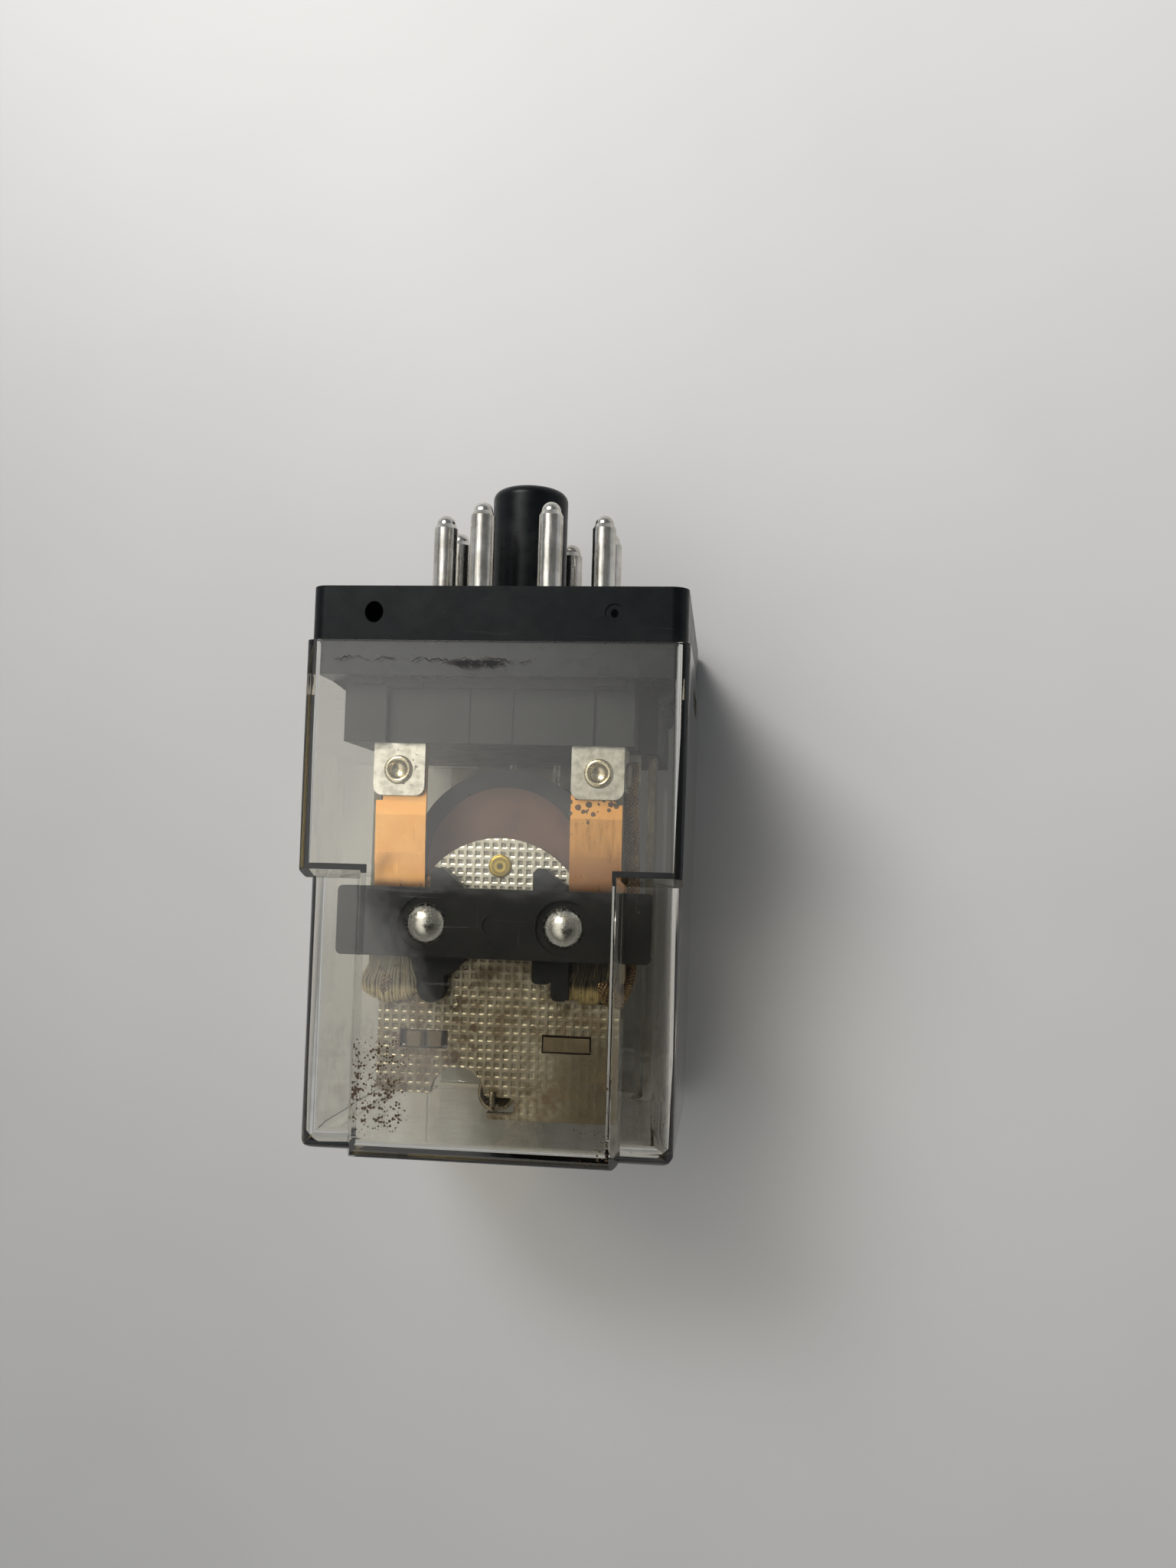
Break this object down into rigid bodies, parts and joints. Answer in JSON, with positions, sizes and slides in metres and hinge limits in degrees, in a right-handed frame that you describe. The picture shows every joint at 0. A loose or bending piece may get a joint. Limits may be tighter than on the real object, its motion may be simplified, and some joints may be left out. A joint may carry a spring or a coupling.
{
  "type": "plug in relay",
  "caption": "Octal-base plug-in clapper relay: black pin base with keyed post, clear clip-fit cover, hinged armature working two changeover contacts.",
  "frame": {"origin": "centre of the pin circle on the face of the base that meets the socket", "axes": "+Y from the relay into its socket, along the pins; +Z out of the front face of the cover, away from the surface the relay lies on; +X across the relay"},
  "size_m": [0.0348, 0.0645, 0.0348],
  "materials": {
    "base_black": "satin moulded black plastic",
    "tinned_pin": "tinned, slightly dull",
    "cover_clear": "clear smoked olive plastic, glossy, scratched and dusty",
    "block_black": "matte moulded black plastic",
    "strap_tin": "tinned sheet",
    "eyelet_brass": "plated brass",
    "bracket_plated": "plated sheet",
    "leaf_copper": "bright copper",
    "contact_silver": "silver",
    "braid_copper": "woven copper braid",
    "yoke_steel": "zinc plated steel",
    "core_iron": "plated iron",
    "ring_copper": "copper",
    "bobbin_grey": "dark grey moulded plastic",
    "winding_wire": "enamelled copper wire",
    "tape_yellow": "polyester tape",
    "fibre_brown": "pressed fibre",
    "lead_tin": "tinned wire",
    "armature_waffle": "plated steel with a fine embossed waffle",
    "brass_yellow": "brass",
    "bar_black": "matte moulded black plastic",
    "rivet_nickel": "bright nickel",
    "spring_steel": "spring wire"
  },
  "bodies": {
    "housing": {"base": "base_black", "pin_1": "tinned_pin", "pin_2": "tinned_pin", "pin_3": "tinned_pin", "pin_4": "tinned_pin", "pin_5": "tinned_pin", "pin_6": "tinned_pin", "pin_7": "tinned_pin", "pin_8": "tinned_pin", "cover": "cover_clear", "contact_block": "block_black", "strap_left": "strap_tin", "strap_right": "strap_tin", "eyelet_left": "eyelet_brass", "eyelet_right": "eyelet_brass", "side_rivet_left": "bracket_plated", "side_rivet_right": "bracket_plated", "open_bracket_left": "bracket_plated", "open_bracket_right": "bracket_plated", "open_contact_left": "contact_silver", "open_contact_right": "contact_silver", "braid_terminal_left": "strap_tin", "braid_terminal_right": "strap_tin", "pigtail_left": "braid_copper", "pigtail_right": "braid_copper", "yoke": "yoke_steel", "yoke_screws": "yoke_steel", "core": "core_iron", "shading_ring": "ring_copper", "bobbin": "bobbin_grey", "winding": "winding_wire", "coil_tape": "tape_yellow", "fibre_washer": "fibre_brown", "coil_leads": "lead_tin", "return_spring": "spring_steel"},
    "armature": {"armature": "armature_waffle", "residual_pin": "brass_yellow", "bar": "bar_black", "bar_rivets": "rivet_nickel", "blade_left": "leaf_copper", "blade_right": "leaf_copper", "moving_contact_left": "contact_silver", "moving_contact_right": "contact_silver"},
    "leaf_left": {"leaf_left": "leaf_copper", "closed_contact_left": "contact_silver"},
    "leaf_right": {"leaf_right": "leaf_copper", "closed_contact_right": "contact_silver"}
  },
  "joints": [
    {"name": "armature_hinge", "type": "hinge", "parent": "housing", "child": "armature", "pos_m": [0, -0.04115, 0.0095], "axis": [1, 0, 0], "range_deg": [-3.4, 0], "stiffness_Nm_per_rad": 0.02, "springref_deg": 2.86, "deforming": ["return_spring", "pigtail_left", "pigtail_right"]},
    {"name": "leaf_left_flex", "type": "hinge", "parent": "housing", "child": "leaf_left", "pos_m": [0, -0.0189, 0.0127], "axis": [1, 0, 0], "range_deg": [0, 0.8], "stiffness_Nm_per_rad": 0.01, "springref_deg": 1.15},
    {"name": "leaf_right_flex", "type": "hinge", "parent": "housing", "child": "leaf_right", "pos_m": [0, -0.0189, 0.0127], "axis": [1, 0, 0], "range_deg": [0, 0.8], "stiffness_Nm_per_rad": 0.01, "springref_deg": 1.15}
  ],
  "couplings": [
    {"joint": "leaf_left_flex", "follows": "armature_hinge", "ratio": -0.23},
    {"joint": "leaf_right_flex", "follows": "armature_hinge", "ratio": -0.23}
  ]
}
